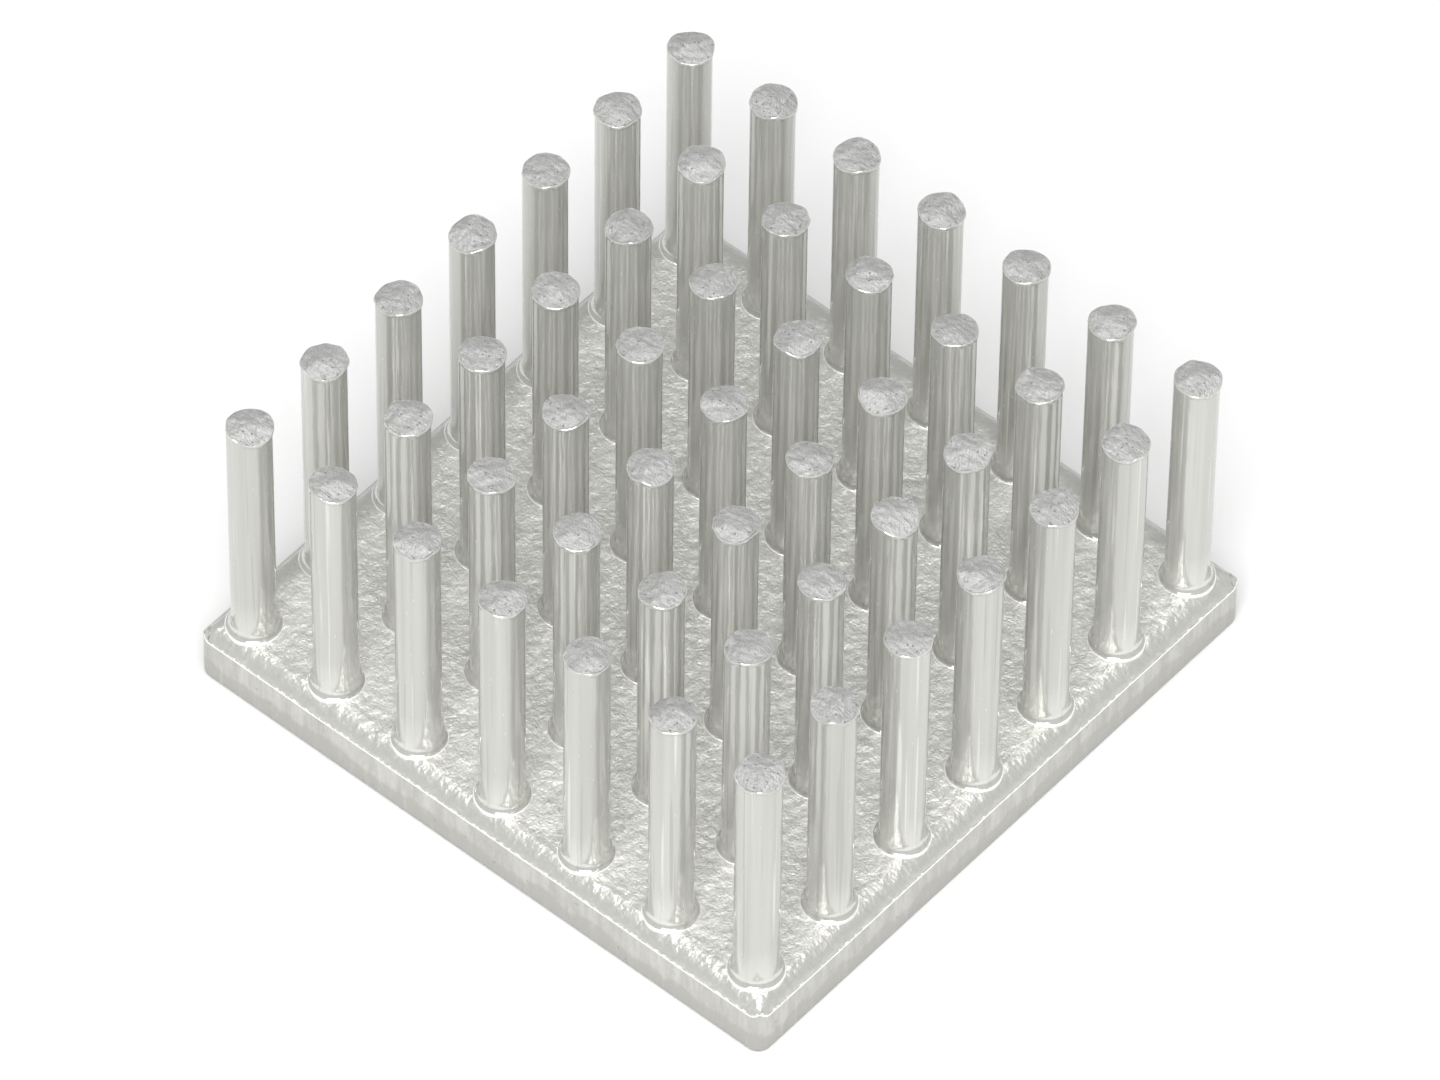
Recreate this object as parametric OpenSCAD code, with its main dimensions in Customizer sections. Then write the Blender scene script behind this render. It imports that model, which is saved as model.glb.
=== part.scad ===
// Pin fin heat sink, cold forged from one piece of aluminium: a square base
// with a flat underside and a square grid of round pins.  Millimetres, +Z up,
// origin in the middle of the base's underside.

/* [Pin grid] */
// Pins along each side of the grid
pins_per_side = 7; // [2:1:9]
// Distance between the centres of neighbouring pins
pin_pitch = 5.94; // [5:0.01:9]

/* [Pins] */
// Diameter of a pin's shaft
pin_diameter = 2.5; // [1.6:0.05:3.2]
// Height of the pins above the top of the base
pin_height = 16.7; // [6:0.1:40]
// Radius of the hollow curve that joins a pin to the base
foot_radius = 0.6; // [0.4:0.05:1]
// How far that curve spreads out from the shaft
foot_reach = 0.36; // [0.2:0.02:0.4]

/* [Sheared pin heads] */
// How far a head's burr stands out past the shaft
burr = 0.07; // [0.02:0.01:0.15]
// Depth of the shaft's end that the shearing has upset
head_depth = 0.75; // [0.6:0.05:1.4]
// Torn faces on each head
torn_faces = 4; // [2:1:6]
// Gentlest slope of a torn face, in degrees
torn_slope_min = 7; // [2:1:12]
// Steepest slope of a torn face, in degrees
torn_slope_max = 19; // [13:1:24]

/* [Base] */
// Thickness of the base between the pins
base_thickness = 3.75; // [2.4:0.05:10]
// Distance from the centres of the outer pins to the edge of the base
edge_margin = 2.18; // [2.1:0.02:8]
// Radius of the four upright corners
corner_radius = 0.8; // [0.5:0.05:2]
// Width of the rolled band around the top
roll_width = 1.3; // [1.1:0.05:1.6]
// How far that band falls on its way to the sides, which cut it off sharply
roll_fall = 0.78; // [0.4:0.02:0.9]
// Radius of the edge around the underside
bottom_edge_radius = 0.2; // [0.1:0.05:0.4]

/* [Hidden] */

pin_radius = pin_diameter / 2;
grid_half = (pins_per_side - 1) * pin_pitch / 2;
base_half = grid_half + edge_margin;
core_half = base_half - corner_radius;
flat_half = base_half - roll_width;
roll_radius = (pow(roll_width, 2) + pow(roll_fall, 2)) / (2 * roll_fall);
overall_height = base_thickness + pin_height;
// The foot's curve ends this far below the base's top, so that it cuts the
// face at a clean angle, and the pin's root goes on down into the base.
foot_dip = 0.03;
root_depth = 0.8;
foot_centre_z = base_thickness - foot_dip
              + sqrt(pow(foot_radius, 2) - pow(foot_radius - foot_reach, 2));
// Turn of each torn face past an even share of the circle, at most
torn_turn = 70;
// Furthest that a torn face starts from the pin's middle, of its radius
torn_offset = 0.45;
pin_fn = 36;
edge_fn = 48;
// How far a cutting shape runs past what it cuts
overrun = 1;

// A fixed scatter between 0 and 1 for pin (column, row) and one of its values
function scatter(column, row, value) =
    let (wave = sin(column * 127.1 + row * 311.7 + value * 74.7) * 1375.37)
    wave - floor(wave);

// Half section of the blank's rim, with the small edge around its underside
module rim_section() {
    difference() {
        square([corner_radius, base_thickness + overrun]);
        translate([corner_radius - bottom_edge_radius, bottom_edge_radius])
            mirror([0, 1])
                difference() {
                    square(bottom_edge_radius + overrun);
                    circle(r = bottom_edge_radius, $fn = edge_fn);
                }
    }
}

// The square blank: a core, and the rim section run along its sides and corners
module blank() {
    translate([-core_half, -core_half, 0])
        cube([2 * core_half, 2 * core_half, base_thickness + overrun]);
    for (quarter = [0 : 3])
        rotate([0, 0, 90 * quarter])
            translate([core_half, core_half, 0]) {
                rotate([90, 0, 0])
                    linear_extrude(height = 2 * core_half)
                        rim_section();
                rotate_extrude(angle = 90, $fn = edge_fn)
                    rim_section();
            }
}

// The die's hollow, run along Y: flat above, and rolled down towards both sides
module die_hollow() {
    shoulder_z = base_thickness - roll_radius;
    rotate([90, 0, 0])
        linear_extrude(height = 2 * (base_half + overrun), center = true) {
            translate([-flat_half, -overrun])
                square([2 * flat_half, base_thickness + overrun]);
            translate([-flat_half - roll_radius, -overrun])
                square([2 * (flat_half + roll_radius), shoulder_z + overrun]);
            for (side = [-1, 1])
                translate([side * flat_half, shoulder_z])
                    circle(r = roll_radius, $fn = edge_fn);
        }
}

// The base: the blank, its top pressed to the die's form both ways
module base() {
    intersection() {
        blank();
        die_hollow();
        rotate([0, 0, 90])
            die_hollow();
    }
}

// Half section of a pin: root in the base, hollow foot, shaft and upset head
module pin_section() {
    root_z = base_thickness - root_depth;
    head_z = overall_height - head_depth;
    square_from = [0, root_z];
    translate(square_from)
        square([pin_radius, overall_height - root_z]);
    difference() {
        translate(square_from)
            square([pin_radius + foot_reach, foot_centre_z - root_z]);
        translate([pin_radius + foot_radius, foot_centre_z])
            circle(r = foot_radius, $fn = edge_fn);
    }
    polygon([
        [0, head_z],
        [pin_radius, head_z],
        [pin_radius + burr, head_z + 2 * burr],
        [pin_radius + burr, overall_height],
        [0, overall_height]
    ]);
}

// The space above one torn face: it slopes down to the rim of the head
module torn_face(column, row, face) {
    across = 4 * pin_diameter;
    slope = torn_slope_min
          + (torn_slope_max - torn_slope_min) * scatter(column, row, face);
    heading = 360 * (face + scatter(column, row, 20)) / torn_faces
            + torn_turn * (scatter(column, row, face + 40) - 0.5);
    offset_from_middle = torn_offset * pin_radius * scatter(column, row, face + 60);
    rotate([0, 0, heading])
        translate([offset_from_middle, 0, overall_height])
            rotate([0, slope, 0])
                translate([-across / 2, -across / 2, 0])
                    cube(across);
}

// One pin, with its own torn faces
module pin(column, row) {
    translate([column * pin_pitch - grid_half, row * pin_pitch - grid_half, 0])
        difference() {
            rotate_extrude($fn = pin_fn)
                pin_section();
            for (face = [0 : torn_faces - 1])
                torn_face(column, row, face);
        }
}

module heat_sink() {
    color("silver")
        union() {
            base();
            for (column = [0 : pins_per_side - 1], row = [0 : pins_per_side - 1])
                pin(column, row);
        }
}

heat_sink();
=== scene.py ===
import math

import bmesh
import bpy
from mathutils import Matrix, Vector, noise


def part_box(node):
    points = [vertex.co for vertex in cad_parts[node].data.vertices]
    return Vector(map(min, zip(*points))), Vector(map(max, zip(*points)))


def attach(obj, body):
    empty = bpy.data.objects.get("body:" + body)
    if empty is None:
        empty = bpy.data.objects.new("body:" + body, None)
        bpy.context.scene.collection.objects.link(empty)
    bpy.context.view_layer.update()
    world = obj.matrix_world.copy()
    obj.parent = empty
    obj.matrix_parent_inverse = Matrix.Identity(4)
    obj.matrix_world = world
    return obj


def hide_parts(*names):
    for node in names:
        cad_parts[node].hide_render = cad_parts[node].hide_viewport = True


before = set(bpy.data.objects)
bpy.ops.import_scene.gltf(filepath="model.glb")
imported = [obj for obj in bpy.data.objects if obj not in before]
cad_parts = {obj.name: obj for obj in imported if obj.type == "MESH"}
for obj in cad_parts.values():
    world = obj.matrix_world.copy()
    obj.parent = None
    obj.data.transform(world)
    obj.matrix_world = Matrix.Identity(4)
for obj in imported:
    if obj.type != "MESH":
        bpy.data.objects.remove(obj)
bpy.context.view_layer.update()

# --------------------------------------------------------------------------
# Sizes, in metres.  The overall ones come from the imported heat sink.
# --------------------------------------------------------------------------
MM = 0.001
low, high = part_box("heat_sink")
BASE_SIDE = high.x - low.x
OVERALL_HEIGHT = high.z - low.z

PINS_PER_SIDE = 7
EDGE_MARGIN = 2.18 * MM
PIN_PITCH = (BASE_SIDE - 2 * EDGE_MARGIN) / (PINS_PER_SIDE - 1)
GRID_HALF = (PINS_PER_SIDE - 1) * PIN_PITCH / 2
PIN_RADIUS = 1.25 * MM
PIN_HEIGHT = 16.7 * MM
FOOT_RADIUS = 0.6 * MM
FOOT_REACH = 0.36 * MM
# A foot ends in a low bead that stands a little above the face of the base.
BEAD_RADIUS = 0.07 * MM
BEAD_RISE = 0.015 * MM
ROOT_DEPTH = 0.8 * MM

# Torn pin heads: sloping faces, and a burr around the rim that leans one way
TORN_FACES = 4
TORN_SLOPE = (7, 19)
TORN_TURN = 70
TORN_OFFSET = 0.45
TORN_STEP = 0.08 * MM
CAP_INSET = 0.04 * MM
LIP_DEPTH = 0.3 * MM
LIP_FADE = 1.2 * MM
BURR = 0.06 * MM
BURR_SWING = 0.05 * MM
BURR_SIDE = math.radians(35)

BASE_THICKNESS = OVERALL_HEIGHT - PIN_HEIGHT
BASE_HALF = BASE_SIDE / 2
CORNER_RADIUS = 0.8 * MM
ROLL_WIDTH = 1.3 * MM
ROLL_FALL = 0.78 * MM
ROLL_RADIUS = (ROLL_WIDTH**2 + ROLL_FALL**2) / (2 * ROLL_FALL)
ARRIS_WIDTH = 0.1 * MM
# A face whose normal rises between these belongs to the arris.
ARRIS_RISE = (0.03, 0.44)
BOTTOM_EDGE_RADIUS = 0.2 * MM
PRESSED_WAVES = 0.03 * MM

# Finishes: each colour varies from dark to light
PIN_DARK, PIN_LIGHT = (0.45, 0.45, 0.42), (0.68, 0.68, 0.645)
PIN_METAL = 0.3
HEAD_DARK, HEAD_LIGHT = (0.38, 0.38, 0.375), (0.48, 0.48, 0.475)
BASE_DARK, BASE_LIGHT = (0.56, 0.56, 0.53), (0.8, 0.8, 0.77)
BASE_METAL = 0.5
# Near-white colour of the arris and the foot beads: partly burnished metal, partly a painted
# highlight.
EDGE_BURNISH_AND_HIGHLIGHT = (0.95, 0.95, 0.93)
SIDE_DARK, SIDE_LIGHT = (0.44, 0.435, 0.41), (0.6, 0.595, 0.57)
FLOOR_COLOUR = (0.74, 0.74, 0.74)

# Camera, with angles in degrees: azimuth, elevation and roll
CAMERA_ANGLES = (40.24, 50.5, 0.74)
CAMERA_DISTANCE = 127.1 * PIN_PITCH
CAMERA_LENS = 352.5

# Light: the brightness of the sky, and the power of the lamps in watts
SKY = 0.45
TOP_LAMP = 5
FRONT_LAMP = 6

# How finely the meshes are divided
PIN_SIDES = 44
HEAD_CELLS = 22
FOOT_RINGS = 7
SHAFT_RINGS = 6
BASE_CELL = 0.34 * MM
SHORTEST_EDGE = 0.002 * MM
HAIR = 0.001 * MM
SAME_PLACE = 0.0001 * MM

# The material slots, in the order of the list that forging() is given
DRAWN, TORN, FROSTED, SATIN, BURNISHED_AND_HIGHLIT = range(5)


# --------------------------------------------------------------------------
# The forging
# --------------------------------------------------------------------------
def scatter(column, row, value):
    """A fixed scatter between 0 and 1 for a pin and one of its values."""
    wave = math.sin(math.radians(column * 127.1 + row * 311.7 + value * 74.7)) * 1375.37
    return wave - math.floor(wave)


def torn_drop(column, row, x, y):
    """How far below the pin's full height the torn head lies at x, y from the pin's axis."""
    drop = 0.0
    for face in range(TORN_FACES):
        slope = TORN_SLOPE[0] + (TORN_SLOPE[1] - TORN_SLOPE[0]) * scatter(column, row, face)
        heading = math.radians(
            360 * (face + scatter(column, row, 20)) / TORN_FACES
            + TORN_TURN * (scatter(column, row, face + 40) - 0.5)
        )
        start = TORN_OFFSET * PIN_RADIUS * scatter(column, row, face + 60)
        along = x * math.cos(heading) + y * math.sin(heading)
        drop = max(drop, (along - start) * math.tan(math.radians(slope)))
    return drop


def pin_profile():
    """Points (radius, height) up a pin, from its root in the base to the head's rim."""
    reach = PIN_RADIUS + FOOT_REACH
    crest = BASE_THICKNESS + BEAD_RISE
    centre = crest + math.sqrt(FOOT_RADIUS**2 - (FOOT_RADIUS - FOOT_REACH + BEAD_RADIUS) ** 2)
    foot_angle = math.acos((FOOT_RADIUS - FOOT_REACH + BEAD_RADIUS) / FOOT_RADIUS)
    points = [(reach, BASE_THICKNESS - ROOT_DEPTH), (reach, crest - BEAD_RADIUS)]
    for turn in (30, 60):
        angle = math.radians(turn)
        out, rise = BEAD_RADIUS * math.cos(angle), BEAD_RADIUS * math.sin(angle)
        points.append((reach - BEAD_RADIUS + out, crest - BEAD_RADIUS + rise))
    for ring in range(FOOT_RINGS + 1):
        angle = foot_angle * (1 - ring / FOOT_RINGS)
        points.append(
            (
                PIN_RADIUS + FOOT_RADIUS * (1 - math.cos(angle)),
                centre - FOOT_RADIUS * math.sin(angle),
            )
        )
    lip_z = OVERALL_HEIGHT - LIP_DEPTH
    for ring in range(1, SHAFT_RINGS):
        points.append((PIN_RADIUS, centre + (lip_z - LIP_FADE - centre) * ring / SHAFT_RINGS))
    points += [
        (PIN_RADIUS, lip_z - LIP_FADE),
        (PIN_RADIUS, lip_z - 0.5 * LIP_FADE),
        (PIN_RADIUS, lip_z - 0.1 * MM),
        (PIN_RADIUS, lip_z),
        (PIN_RADIUS + 0.6 * BURR, OVERALL_HEIGHT - 0.6 * LIP_DEPTH),
        (PIN_RADIUS + BURR, OVERALL_HEIGHT - 0.3 * LIP_DEPTH),
        (PIN_RADIUS + 0.7 * BURR, OVERALL_HEIGHT - 0.1 * LIP_DEPTH),
        (PIN_RADIUS, OVERALL_HEIGHT),
    ]
    return points


def disc_grid(bm, cells, radius, z):
    """A grid of square cells, eased out to fill a circle, so it has no pole."""
    made = bmesh.ops.create_grid(bm, x_segments=cells, y_segments=cells, size=radius)
    for vert in made["verts"]:
        x, y = vert.co.x, vert.co.y
        reach = max(abs(x), abs(y))
        if reach > 0:
            if abs(x) > abs(y):
                turn = math.pi / 4 * y / abs(x)
                turn = turn if x > 0 else math.pi - turn
            else:
                turn = math.pi / 2 - math.pi / 4 * x / abs(y)
                turn = turn if y > 0 else -turn
            round_place = Vector((reach * math.cos(turn), reach * math.sin(turn), 0))
            vert.co = vert.co.lerp(round_place, (reach / radius) ** 2)
        vert.co.z = z


def pin_blank():
    """One upright pin at the middle, with a flat head: the mesh that every pin starts from."""
    bm = bmesh.new()
    points = pin_profile()
    verts = [bm.verts.new((radius, 0, z)) for radius, z in points]
    edges = [bm.edges.new(pair) for pair in zip(verts, verts[1:])]
    bmesh.ops.spin(
        bm,
        geom=verts + edges,
        cent=(0, 0, 0),
        axis=(0, 0, 1),
        angle=2 * math.pi,
        steps=PIN_SIDES,
        use_merge=True,
    )
    bmesh.ops.remove_doubles(bm, verts=bm.verts, dist=SAME_PLACE)
    for face in bm.faces:
        # Foot bead faces take the burnished material, whose lighter colour is partly a painted
        # highlight.
        bead = face.calc_center_median().z < BASE_THICKNESS + BEAD_RISE
        face.material_index = BURNISHED_AND_HIGHLIT if bead else DRAWN
    root = [e for e in bm.edges if e.is_boundary and e.verts[0].co.z < BASE_THICKNESS]
    bmesh.ops.edgeloop_fill(bm, edges=root)
    rim_radius, rim_z = points[-1]
    before = set(bm.faces)
    disc_grid(bm, HEAD_CELLS, rim_radius - CAP_INSET, rim_z)
    rims = [e for e in bm.edges if e.is_boundary]
    bmesh.ops.bridge_loops(bm, edges=rims)
    for face in bm.faces:
        if face not in before:
            face.material_index = TORN
    bmesh.ops.recalc_face_normals(bm, faces=bm.faces)
    mesh = bpy.data.meshes.new("pin_blank")
    bm.to_mesh(mesh)
    bm.free()
    return mesh


def torn_relief(x, y, column, row):
    """Fine steps and lumps of the torn face, which run across it the way that it tore."""
    way = math.pi * scatter(column, row, 80)
    along = x * math.cos(way) + y * math.sin(way)
    across = y * math.cos(way) - x * math.sin(way)
    lumps = noise.noise(Vector((along / (0.9 * MM), across / (0.45 * MM), 7 * column + row)))
    steps = noise.noise(Vector((along / (0.3 * MM), across / (1.4 * MM), 11 * row - column)))
    edge = min(1, math.hypot(x, y) / PIN_RADIUS)
    return TORN_STEP * (0.9 * lumps + 0.7 * abs(steps) * (1 - edge**4))


def shape_pin(verts, column, row):
    """Tears the head of the pin and stands it in its place in the grid."""
    fade_end = OVERALL_HEIGHT - LIP_DEPTH - LIP_FADE
    lean = BURR_SIDE + 2.4 * (scatter(column, row, 90) - 0.5)
    place = Vector((column * PIN_PITCH - GRID_HALF, row * PIN_PITCH - GRID_HALF, 0))
    for vert in verts:
        x, y, z = vert.co
        if z > fade_end + HAIR:
            share = min(1, (z - fade_end) / LIP_FADE)
            relief = torn_relief(x, y, column, row)
            vert.co.z -= share * (torn_drop(column, row, x, y) + max(0, relief))
            if z > OVERALL_HEIGHT - 0.95 * LIP_DEPTH:
                turn = math.atan2(y, x)
                outward = Vector((math.cos(turn), math.sin(turn), 0))
                ragged = noise.noise(2.2 * outward + Vector((0, 0, 5 * column + row)))
                push = BURR_SWING * (math.cos(turn - lean) + 1.3 * ragged)
                reach = min(1, math.hypot(x, y) / PIN_RADIUS)
                vert.co += outward * push * reach**4
        vert.co += place


def pin_field():
    """All the pins, as closed shells whose roots lie inside the base."""
    blank = pin_blank()
    bm = bmesh.new()
    for column in range(PINS_PER_SIDE):
        for row in range(PINS_PER_SIDE):
            first = len(bm.verts)
            bm.from_mesh(blank)
            bm.verts.ensure_lookup_table()
            shape_pin(bm.verts[first:], column, row)
    return finish_mesh(bm, "pins")


def roll_drop(x, y):
    """How far the rolled band has fallen at x, y on the top of the base."""
    out = max(abs(x), abs(y)) - (BASE_HALF - ROLL_WIDTH)
    return ROLL_RADIUS - math.sqrt(ROLL_RADIUS**2 - out**2) if out > 0 else 0.0


def round_off(bm, edges, radius, segments):
    bmesh.ops.bevel(
        bm,
        geom=edges,
        offset=radius,
        affect="EDGES",
        segments=segments,
        profile=0.5,
        material=-1,
    )


def cut_grid(bm, places):
    """Cuts every face above the bottom edge along both ways of the grid."""
    for axis in (Vector((1, 0, 0)), Vector((0, 1, 0))):
        for place in places:
            shown = [f for f in bm.faces if f.calc_center_median().z > BOTTOM_EDGE_RADIUS]
            edges = dict.fromkeys(e for f in shown for e in f.edges)
            verts = dict.fromkeys(v for f in shown for v in f.verts)
            bmesh.ops.bisect_plane(
                bm,
                geom=[*shown, *edges, *verts],
                dist=SAME_PLACE,
                plane_co=axis * place,
                plane_no=axis,
            )


def base_plate():
    """The base: a block whose top is divided finely and rolled down to a sharp arris."""
    bm = bmesh.new()
    bmesh.ops.create_cube(bm, size=1)
    bmesh.ops.scale(bm, vec=(BASE_SIDE, BASE_SIDE, BASE_THICKNESS), verts=bm.verts)
    bmesh.ops.translate(bm, vec=(0, 0, BASE_THICKNESS / 2), verts=bm.verts)
    upright = [e for e in bm.edges if abs(e.verts[0].co.z - e.verts[1].co.z) > BASE_THICKNESS / 2]
    round_off(bm, upright, CORNER_RADIUS, 8)
    bottom = [e for e in bm.edges if max(v.co.z for v in e.verts) < HAIR]
    round_off(bm, bottom, BOTTOM_EDGE_RADIUS, 3)
    cells = round(BASE_SIDE / BASE_CELL)
    cut_grid(bm, [BASE_SIDE * (cell / cells - 0.5) for cell in range(1, cells)])
    for vert in bm.verts:
        if vert.co.z > BASE_THICKNESS - HAIR:
            x, y, _ = vert.co
            waves = noise.noise(Vector((x, y, 0)) / (2.1 * MM))
            vert.co.z += PRESSED_WAVES * (waves - 0.1) - roll_drop(x, y)
    arris = [
        e
        for e in bm.edges
        if len(e.link_faces) == 2
        and {abs(f.normal.z) < 0.1 for f in e.link_faces} == {True, False}
        and min(v.co.z for v in e.verts) > BASE_THICKNESS - 1.3 * ROLL_FALL
    ]
    round_off(bm, arris, ARRIS_WIDTH, 2)
    bm.normal_update()
    # Arris faces take the burnished material, whose lighter colour is partly a painted highlight.
    for face in bm.faces:
        rise = face.normal.z
        if rise > ARRIS_RISE[1]:
            face.material_index = FROSTED
        elif rise > ARRIS_RISE[0]:
            face.material_index = BURNISHED_AND_HIGHLIT
        else:
            face.material_index = SATIN
    return finish_mesh(bm, "base")


def finish_mesh(bm, name):
    mesh = bpy.data.meshes.new(name)
    bm.to_mesh(mesh)
    bm.free()
    made = bpy.data.objects.new(name, mesh)
    bpy.context.scene.collection.objects.link(made)
    return made


def forging(materials):
    """The base and its pins, made one closed piece."""
    base = base_plate()
    pins = pin_field()
    for made in (base, pins):
        for material in materials:
            made.data.materials.append(material)
    joined = base.modifiers.new("join", "BOOLEAN")
    joined.operation = "UNION"
    joined.solver = "MANIFOLD"
    joined.object = pins
    graph = bpy.context.evaluated_depsgraph_get()
    mesh = bpy.data.meshes.new_from_object(base.evaluated_get(graph))
    bpy.data.objects.remove(base)
    bpy.data.objects.remove(pins)
    piece = bpy.data.objects.new("forging", mesh)
    bpy.context.scene.collection.objects.link(piece)
    bm = bmesh.new()
    bm.from_mesh(mesh)
    bmesh.ops.dissolve_degenerate(bm, dist=SHORTEST_EDGE, edges=bm.edges)
    bm.to_mesh(mesh)
    bm.free()
    for face in mesh.polygons:
        face.use_smooth = True
    mesh.set_sharp_from_angle(angle=math.radians(30))
    return piece


# --------------------------------------------------------------------------
# Materials
# --------------------------------------------------------------------------
class Value:
    """A shader socket that can be used in Python arithmetic."""

    def __init__(self, shading, socket):
        self.shading = shading
        self.socket = socket

    def maths(self, operation, *others, clamp=False):
        inputs = {place: other for place, other in enumerate((self, *others))}
        settings = {"operation": operation, "use_clamp": clamp}
        return self.shading.node("ShaderNodeMath", settings, inputs)

    def __add__(self, other):
        return self.maths("ADD", other)

    def __mul__(self, other):
        return self.maths("MULTIPLY", other)

    def __sub__(self, other):
        return self.maths("SUBTRACT", other)

    def __rsub__(self, other):
        return self * -1 + other

    __radd__ = __add__
    __rmul__ = __mul__

    def largest(self, other):
        return self.maths("MAXIMUM", other)

    def size(self):
        return self.maths("ABSOLUTE")

    def ramp(self, start, end):
        """0 at start and 1 at end, held at 0 and 1 beyond them."""
        scale = 1 / (end - start)
        return self.maths("MULTIPLY_ADD", scale, -start * scale, clamp=True)


class Shading:
    """The node tree of one material, with its Principled shader."""

    def __init__(self, name):
        self.material = bpy.data.materials.new(name)
        self.material.use_nodes = True
        self.tree = self.material.node_tree
        self.shader = self.tree.nodes["Principled BSDF"]
        place = self.node("ShaderNodeTexCoord", {}, {}, "Object")
        parts = self.tree.nodes.new("ShaderNodeSeparateXYZ")
        self.tree.links.new(place.socket, parts.inputs[0])
        self.x, self.y, self.z = (Value(self, parts.outputs[axis]) * (1 / MM) for axis in "XYZ")

    def fill(self, socket, value):
        if isinstance(value, Value):
            self.tree.links.new(value.socket, socket)
        else:
            socket.default_value = value

    def node(self, kind, settings, inputs, output=0):
        made = self.tree.nodes.new(kind)
        for name, value in settings.items():
            setattr(made, name, value)
        for name, value in inputs.items():
            self.fill(made.inputs[name], value)
        return Value(self, made.outputs[output])

    def point(self, x, y, z):
        return self.node("ShaderNodeCombineXYZ", {}, {"X": x, "Y": y, "Z": z})

    def noise(self, point, detail=2.0, roughness=0.5):
        return self.node(
            "ShaderNodeTexNoise",
            {"noise_dimensions": "3D"},
            {"Vector": point, "Scale": 1.0, "Detail": detail, "Roughness": roughness},
            "Fac",
        )

    def pits(self, point):
        inputs = {"Vector": point, "Scale": 1.0}
        return self.node("ShaderNodeTexVoronoi", {"feature": "F1"}, inputs, "Distance")

    def mix(self, share, first, second):
        settings = {"data_type": "RGBA"}
        inputs = {"Factor": share, 6: (*first, 1), 7: (*second, 1)}
        return self.node("ShaderNodeMix", settings, inputs, 2)

    def bump(self, height, distance, strength=1.0, below=None):
        inputs = {"Height": height, "Distance": distance * MM, "Strength": strength}
        if below is not None:
            inputs["Normal"] = below
        return self.node("ShaderNodeBump", {}, inputs)

    def finish(self, **inputs):
        for name, value in inputs.items():
            self.fill(self.shader.inputs[name.replace("_", " ")], value)
        return self.material


def drawn_pins():
    """Shafts drawn bright through the die: upright streaks with painted reflection lines, and a
    clearer gloss at the feet, which are also painted lighter against the shade there.
    """
    s = Shading("drawn_pins")
    streaks = s.noise(s.point(s.x * 5, s.y * 5, s.z * 0.05), 3.0, 0.6)
    bands = s.noise(s.point(s.x * 1.5, s.y * 1.5, s.z * 0.03), 1.0)
    dents = s.noise(s.point(s.x * 0.9, s.y * 0.9, s.z * 0.3), 2.0)
    painted_reflection_lines = s.noise(s.point(s.x * 4, s.y * 4, s.z * 0.06 + 9), 1.0)
    scuffs = s.noise(s.point(s.x * 9, s.y * 9, s.z * 1.1), 2.0).ramp(0.66, 0.76)
    foot_metal_and_painted_light = s.z.ramp(BASE_THICKNESS / MM + 3, BASE_THICKNESS / MM + 0.6)
    shade = 0.55 + (bands - 0.5) * 1.3 + (streaks - 0.5) * 0.5
    # Thin bright and dark upright lines painted into the colour: painted reflections.
    shade = shade + painted_reflection_lines.ramp(0.64, 0.72) * 1.2 - painted_reflection_lines.ramp(0.36, 0.3) * 0.6
    return s.finish(
        # The feet are painted lighter here: painted light against the shade in the crease at each
        # foot.
        Base_Color=s.mix((shade + foot_metal_and_painted_light * 0.9).ramp(0, 1.6), PIN_DARK, PIN_LIGHT),
        Metallic=PIN_METAL + foot_metal_and_painted_light * 0.3,
        Roughness=0.07 + streaks * 0.08 + scuffs * 0.2,
        Normal=s.bump(dents, 0.05, 1.0, s.bump(streaks, 0.01)),
    )


def torn_heads():
    """Sheared pin ends: matte grey, scratched across, with small pits."""
    s = Shading("torn_heads")
    lumps = s.noise(s.point(s.x * 2.2, s.y * 3.4, s.z * 2), 4.0, 0.6)
    scratches = s.noise(s.point(s.x * 9 + s.y * 7, s.y * 1.6 - s.x * 1.6, s.z * 3), 3.0, 0.6)
    pits = s.pits(s.point(s.x * 2.6, s.y * 2.6, s.z * 2.6)).ramp(0.16, 0.06)
    height = lumps * 0.8 + scratches * 0.35 - pits * 0.5
    return s.finish(
        Base_Color=s.mix((lumps * 0.5 + scratches * 0.5).ramp(0.36, 0.64), HEAD_DARK, HEAD_LIGHT),
        Metallic=0.5,
        Roughness=0.42 + lumps * 0.25,
        Normal=s.bump(height, 0.16),
    )


def frosted_base():
    """The pressed face between the pins: pitted and frosty, smoother in a band by its edges,
    where it is also painted darker as shade.
    """
    s = Shading("frosted_base")
    ragged = s.noise(s.point(s.x * 1.3, s.y * 1.3, 0), 3.0, 0.6) - 0.5
    edge = (s.x.size().largest(s.y.size()) + ragged * 1.2).ramp(
        (BASE_HALF - 1.5 * ROLL_WIDTH) / MM, (BASE_HALF - 0.9 * ROLL_WIDTH) / MM
    )
    clouds = s.noise(s.point(s.x * 0.5, s.y * 0.5, 0), 3.0, 0.6)
    grain = s.noise(s.point(s.x * 5, s.y * 5, s.z * 5), 4.0, 0.65)
    lumps = s.noise(s.point(s.x * 1.7, s.y * 1.7, s.z), 2.0)
    pits = s.pits(s.point(s.x * 3.2, s.y * 3.2, s.z * 3.2)).ramp(0.22, 0.08)
    rough = 1 - 0.75 * edge
    coarse = s.bump(lumps, 0.14)
    height = s.bump((grain * 0.8 - pits * 0.3) * rough, 0.05, 1.0, coarse)
    # The band by the edges is painted darker: painted shade against the front lamp's light on the
    # roll.
    shade = (clouds * 0.5 + grain * 0.5 - edge * 0.2 - pits * 0.1).ramp(0.34, 0.66)
    return s.finish(
        Base_Color=s.mix(shade, BASE_DARK, BASE_LIGHT),
        Metallic=BASE_METAL,
        Roughness=0.3 + grain * 0.15 * rough,
        Normal=height,
    )


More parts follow.
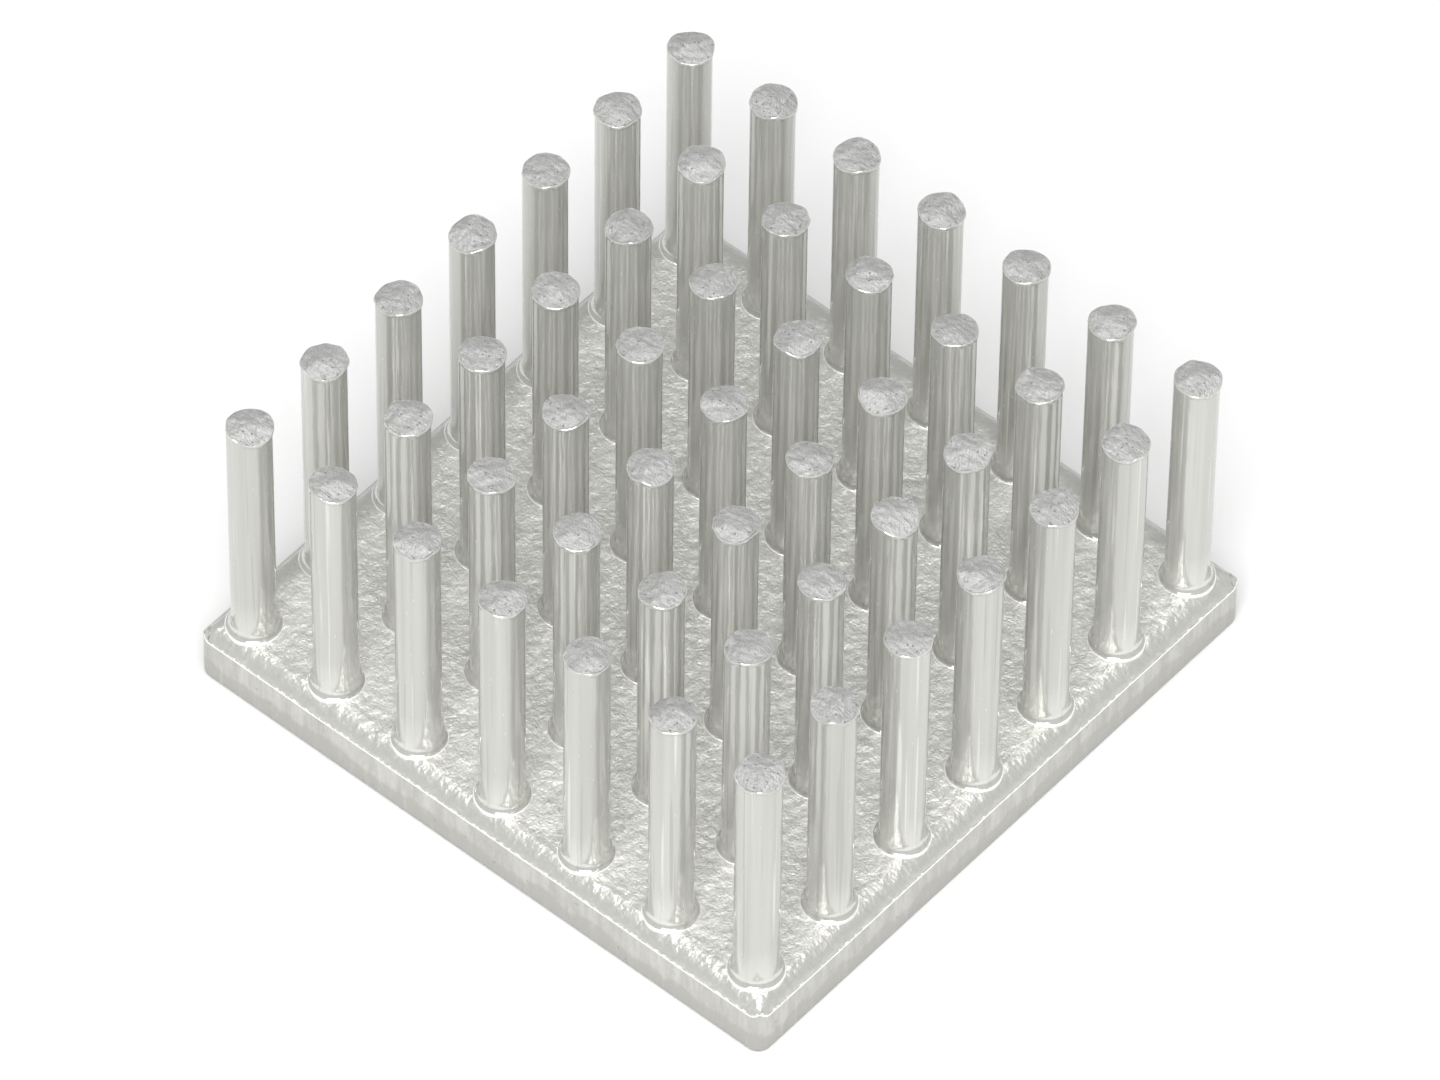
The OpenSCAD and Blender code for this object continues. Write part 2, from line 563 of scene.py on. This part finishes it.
def satin_sides():
    """Trimmed sides and underside: satin, with upright chatter and a strip along the bottom
    painted darker as shade.
    """
    s = Shading("satin_sides")
    along = s.x + s.y
    chatter = s.noise(s.point(s.x * 1.5, s.y * 1.5, s.z * 0.25), 3.0, 0.6)
    grain = s.noise(s.point(s.x * 6, s.y * 6, s.z * 3), 3.0, 0.6)
    border = s.noise(s.point(along * 0.35, along * 0.2, 0), 2.0)
    # A strip along the bottom, painted darker: painted shade, for the floor's shadow seen in the
    # sides.
    painted_shade_strip = (s.z - border * 2.2).ramp(0.5, 0.1)
    nicks = s.pits(s.point(s.x * 0.9, s.y * 0.9, s.z * 1.2)).ramp(0.09, 0.05)
    height = chatter * 0.9 + grain * 0.12 - nicks * 0.4
    shade = (chatter * 0.7 + grain * 0.3).ramp(0.35, 0.65) - painted_shade_strip * 0.6 - nicks * 0.8
    return s.finish(
        Base_Color=s.mix(shade.ramp(0, 1), SIDE_DARK, SIDE_LIGHT),
        Metallic=0.6,
        Roughness=0.3 + grain * 0.12,
        Normal=s.bump(height, 0.12),
    )


def burnished_and_highlight_edge():
    """The sharp arris round the top and the beads round the feet, rubbed bright and partly
    painted lighter as a highlight.
    """
    s = Shading("burnished_and_highlight_edge")
    worn_and_highlit = s.noise(s.point(s.x * 2.5, s.y * 2.5, s.z * 2.5), 3.0, 0.6)
    return s.finish(
        # Mixes up to the near-white edge colour: burnished wear, and partly a painted highlight.
        Base_Color=s.mix(worn_and_highlit.ramp(0.35, 0.5), BASE_LIGHT, EDGE_BURNISH_AND_HIGHLIGHT),
        Metallic=0.4,
        Roughness=0.25,
        Normal=s.bump(worn_and_highlit, 0.05),
    )


def floor_white():
    s = Shading("floor")
    return s.finish(Base_Color=(*FLOOR_COLOUR, 1), Roughness=0.9)


# --------------------------------------------------------------------------
# Camera, floor and light
# --------------------------------------------------------------------------
def camera():
    azimuth, elevation, roll = (math.radians(angle) for angle in CAMERA_ANGLES)
    target = Vector((0.071 * PIN_PITCH, -0.113 * PIN_PITCH, BASE_THICKNESS + PIN_PITCH))
    back = Vector(
        (
            math.sin(azimuth) * math.cos(elevation),
            -math.cos(azimuth) * math.cos(elevation),
            math.sin(elevation),
        )
    )
    level = Vector((math.cos(azimuth), math.sin(azimuth), 0))
    upward = back.cross(level)
    right = math.cos(roll) * level + math.sin(roll) * upward
    up = math.cos(roll) * upward - math.sin(roll) * level
    data = bpy.data.cameras.new("camera")
    data.sensor_width = 36
    data.lens = CAMERA_LENS
    data.clip_start = 0.05
    data.clip_end = 20
    made = bpy.data.objects.new("camera", data)
    bpy.context.scene.collection.objects.link(made)
    made.matrix_world = Matrix.Translation(target + back * CAMERA_DISTANCE) @ Matrix(
        (right, up, back)
    ).transposed().to_4x4()
    bpy.context.scene.camera = made


def area_lamp(name, place, aim, size, power):
    data = bpy.data.lights.new(name, "AREA")
    data.shape = "RECTANGLE"
    data.size, data.size_y = size
    data.energy = power
    made = bpy.data.objects.new(name, data)
    bpy.context.scene.collection.objects.link(made)
    made.location = place
    made.rotation_euler = (Vector(aim) - Vector(place)).to_track_quat("-Z", "Y").to_euler()


def studio():
    world = bpy.data.worlds.new("studio")
    bpy.context.scene.world = world
    world.use_nodes = True
    background = world.node_tree.nodes["Background"]
    background.inputs["Color"].default_value = (1, 1, 1, 1)
    background.inputs["Strength"].default_value = SKY
    bm = bmesh.new()
    bmesh.ops.create_grid(bm, x_segments=1, y_segments=1, size=3)
    floor = finish_mesh(bm, "floor")
    floor.data.materials.append(floor_white())
    area_lamp("overhead", (0.1, -0.1, 0.8), (0, 0, 0), (0.6, 0.6), TOP_LAMP)
    area_lamp("front", (0.36, -0.54, 0.72), (0, 0, 0), (0.5, 0.4), FRONT_LAMP)


bpy.context.scene.view_settings.view_transform = "Standard"
camera()
studio()
piece = forging(
    [drawn_pins(), torn_heads(), frosted_base(), satin_sides(), burnished_and_highlight_edge()]
)
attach(piece, "root")
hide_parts("heat_sink")
